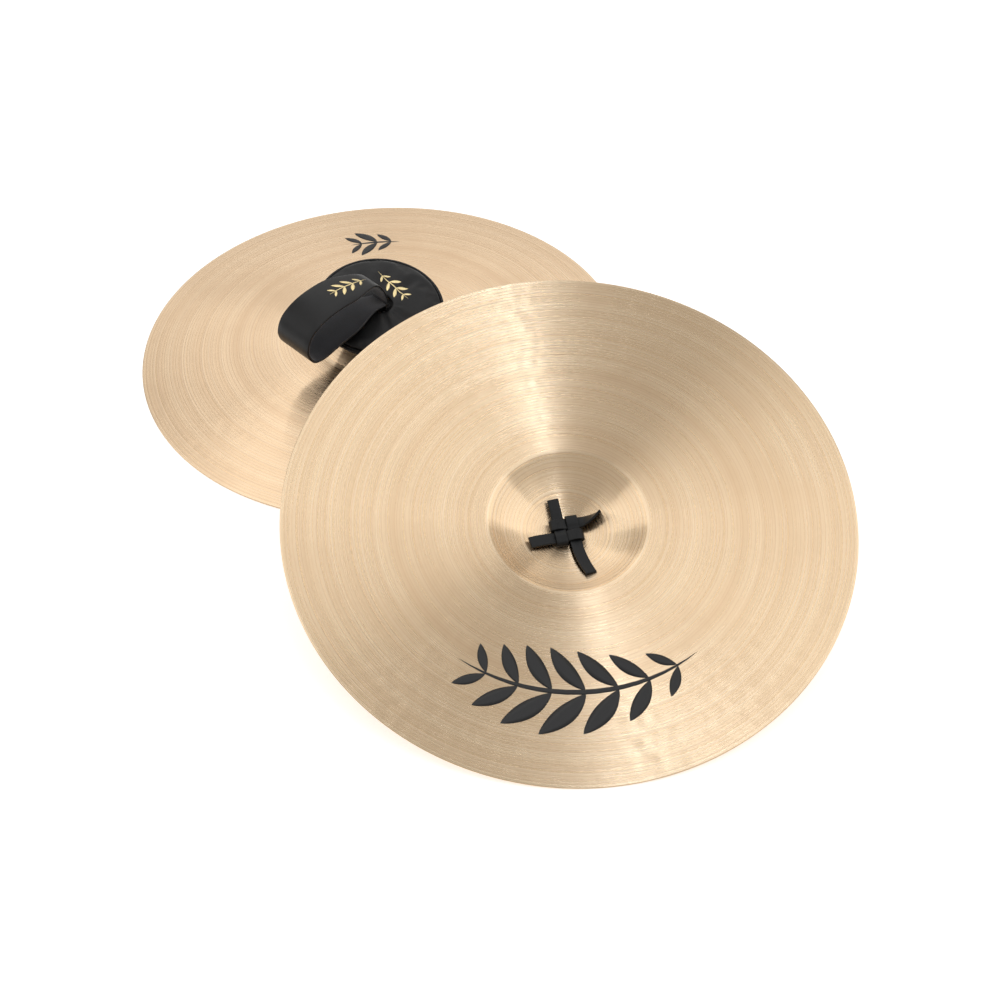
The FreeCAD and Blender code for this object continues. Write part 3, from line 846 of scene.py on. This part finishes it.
def make_stage():
    mesh = bpy.data.meshes.new("floor")
    steps = 9
    at = [FLOOR_HALF * (2 * i / (steps - 1) - 1) for i in range(steps)]
    mesh.from_pydata([(x, y, -0.0002) for x in at for y in at], [], grid_faces(steps, steps))
    mesh.materials.append(floor_material("studio_floor"))
    floor = bpy.data.objects.new("floor", mesh)
    bpy.context.scene.collection.objects.link(floor)
    world = bpy.data.worlds.new("studio")
    world.use_nodes = True
    background = world.node_tree.nodes["Background"]
    background.inputs["Color"].default_value = (1.0, 0.97, 0.93, 1)
    background.inputs["Strength"].default_value = 0.50
    bpy.context.scene.world = world
    overhead_light("left_overhead", -OVERHEAD_GAP, (1.5, 2.4), GAP_AZIMUTH, 10)
    overhead_light("right_overhead", OVERHEAD_GAP, (1.5, 2.4), GAP_AZIMUTH, 10)
    for end in (-1, 1):
        overhead_light(f"streak_strip_{end + 1}", 0.0, (0.045, 1.1), STREAK_AZIMUTH, 0.95,
                       end * STREAK_PLACE, (0.88, 0.98, 1.15))
    aimed_light("left_box", (-2.1, 0.1, 1.25), (0, 0, 0.03), (1.8, 1.4), 6)
    aimed_light("right_box", (2.2, 0.1, 1.25), (0, 0, 0.03), (1.8, 1.4), 6)
    aimed_light("back_panel", (-0.15, 2.2, 1.5), (-0.08, 0.13, 0.03), (2.8, 1.3), 8.0)


def make_camera():
    """Looks along +Y and 46 degrees down."""
    data = bpy.data.cameras.new("camera")
    data.sensor_width = 36.0
    data.lens = CAMERA_LENS
    camera = bpy.data.objects.new("camera", data)
    camera.location = CAMERA_PLACE
    camera.rotation_euler = (math.radians(90 - CAMERA_DOWN), 0, 0)
    bpy.context.scene.collection.objects.link(camera)
    bpy.context.scene.camera = camera


# ---- the set ---------------------------------------------------------------------------------------------

make_camera()
make_stage()
bpy.context.scene.view_settings.view_transform = "Standard"

bronze("bronze_front_lathed", (0.94, 0.75, 0.53), (0.88, 0.67, 0.44), (0.72, 0.49, 0.29))
# The rear plate's colours are the front's bronze made a little darker: painted shade on the same metal.
bronze("bronze_rear_lathed", (0.90, 0.70, 0.49), (0.83, 0.62, 0.41), (0.68, 0.46, 0.28))
leather("pad_leather", (0.008, 0.008, 0.0085), (0.020, 0.019, 0.019), 900.0, 0.36, 0.48, 0.00012)
leather("strap_leather", (0.007, 0.007, 0.0075), (0.016, 0.016, 0.017), 1300.0, 0.33, 0.45, 0.00008)
leather("thong_leather", (0.006, 0.0065, 0.007), (0.016, 0.017, 0.019), 1500.0, 0.34, 0.50, 0.00008)
suede("suede", (0.004, 0.005, 0.008), (0.010, 0.012, 0.020))
felt("felt", (0.42, 0.41, 0.38))
thread_material("thread", (0.02, 0.02, 0.022))
ink("black_ink", (0.008, 0.008, 0.009), 0.0, 0.42)
ink("gold_foil", (0.95, 0.78, 0.42), 1.0, 0.36)

covers = {}
for index, (name, pad_height, loop_points, sag) in enumerate((("rear", 0.0086, REAR_LOOP, REAR_SAG),
                                                              ("front", 0.0073, FRONT_LOOP, 0.0))):
    plate_piece(name, materials[f"bronze_{name}_lathed"], 1.0 + index)
    covers[name] = make_pad(name, pad_height)
    make_strap(name, loop_points, sag)
    make_knot(name)

plate_print("front", cymbal_frame("front"), math.radians(87.7), 0.151, (0.196, 0.076), 7, True,
            materials["black_ink"])
plate_print("rear", cymbal_frame("rear"), math.radians(97), 0.152, (0.050, 0.048), 3, False,
            materials["black_ink"])
strap_stamp("rear", REAR_LOOP, REAR_SAG, 0.036, (0.042, 0.020), materials["gold_foil"])
pad_stamp("rear", covers["rear"], (0.011, 0.022), math.radians(-47), (0.044, 0.019), materials["gold_foil"])
